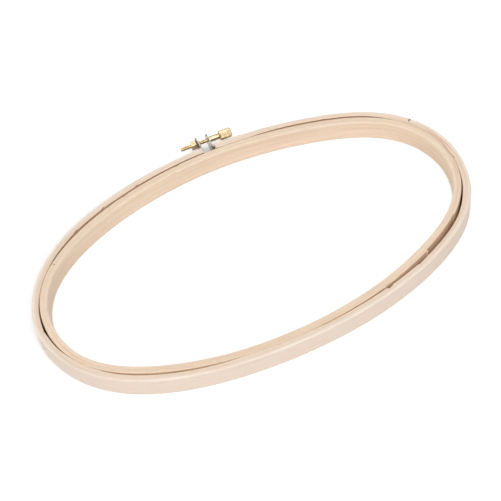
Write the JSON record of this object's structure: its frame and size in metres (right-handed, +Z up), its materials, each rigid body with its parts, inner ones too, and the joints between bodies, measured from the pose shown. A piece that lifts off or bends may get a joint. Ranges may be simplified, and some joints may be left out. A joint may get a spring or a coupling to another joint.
{
  "type": "embroidery hoop",
  "caption": "Oval wooden embroidery hoop: a closed inner ring inside a split outer ring, drawn tight by a brass thumb screw through plated steel brackets.",
  "frame": {"origin": "on the surface the hoop lies on, under the middle of its bounding box", "axes": "+X along the oval towards the screw's knurled head, +Y towards the screw, +Z up through the hoop's opening"},
  "size_m": [0.2364, 0.1472, 0.0123],
  "materials": {
    "outer_wood": "smooth sanded pale beech",
    "inner_wood": "smooth sanded pale beech",
    "plated_steel": "nickel plated",
    "rivet_steel": "dull plated",
    "brass": "polished brass"
  },
  "bodies": {
    "outer_band": {"outer_ring": "outer_wood", "left_bracket": "plated_steel", "right_bracket": "plated_steel", "left_rivet_1": "rivet_steel", "left_rivet_2": "rivet_steel", "right_rivet_1": "rivet_steel", "right_rivet_2": "rivet_steel"},
    "inner_band": {"inner_ring": "inner_wood"},
    "screw": {"thumb_screw": "brass"},
    "nut": {"square_nut": "brass"}
  },
  "joints": [
    {"name": "inner_ring_lift", "type": "slide", "parent": "outer_band", "child": "inner_band", "axis": [0, 0, 1], "range_m": [0, 0.03]},
    {"name": "nut_travel", "type": "slide", "parent": "outer_band", "child": "nut", "axis": [-0.9984, 0.0569, 0], "range_m": [0, 0.0052]},
    {"name": "screw_turn", "type": "hinge", "parent": "outer_band", "child": "screw", "pos_m": [0.00969, 0.06959, 0.00615], "axis": [0.9984, -0.0569, 0], "range_deg": [0, 4680]}
  ],
  "couplings": [
    {"joint": "screw_turn", "follows": "nut_travel", "rad_per_m": 15708}
  ]
}
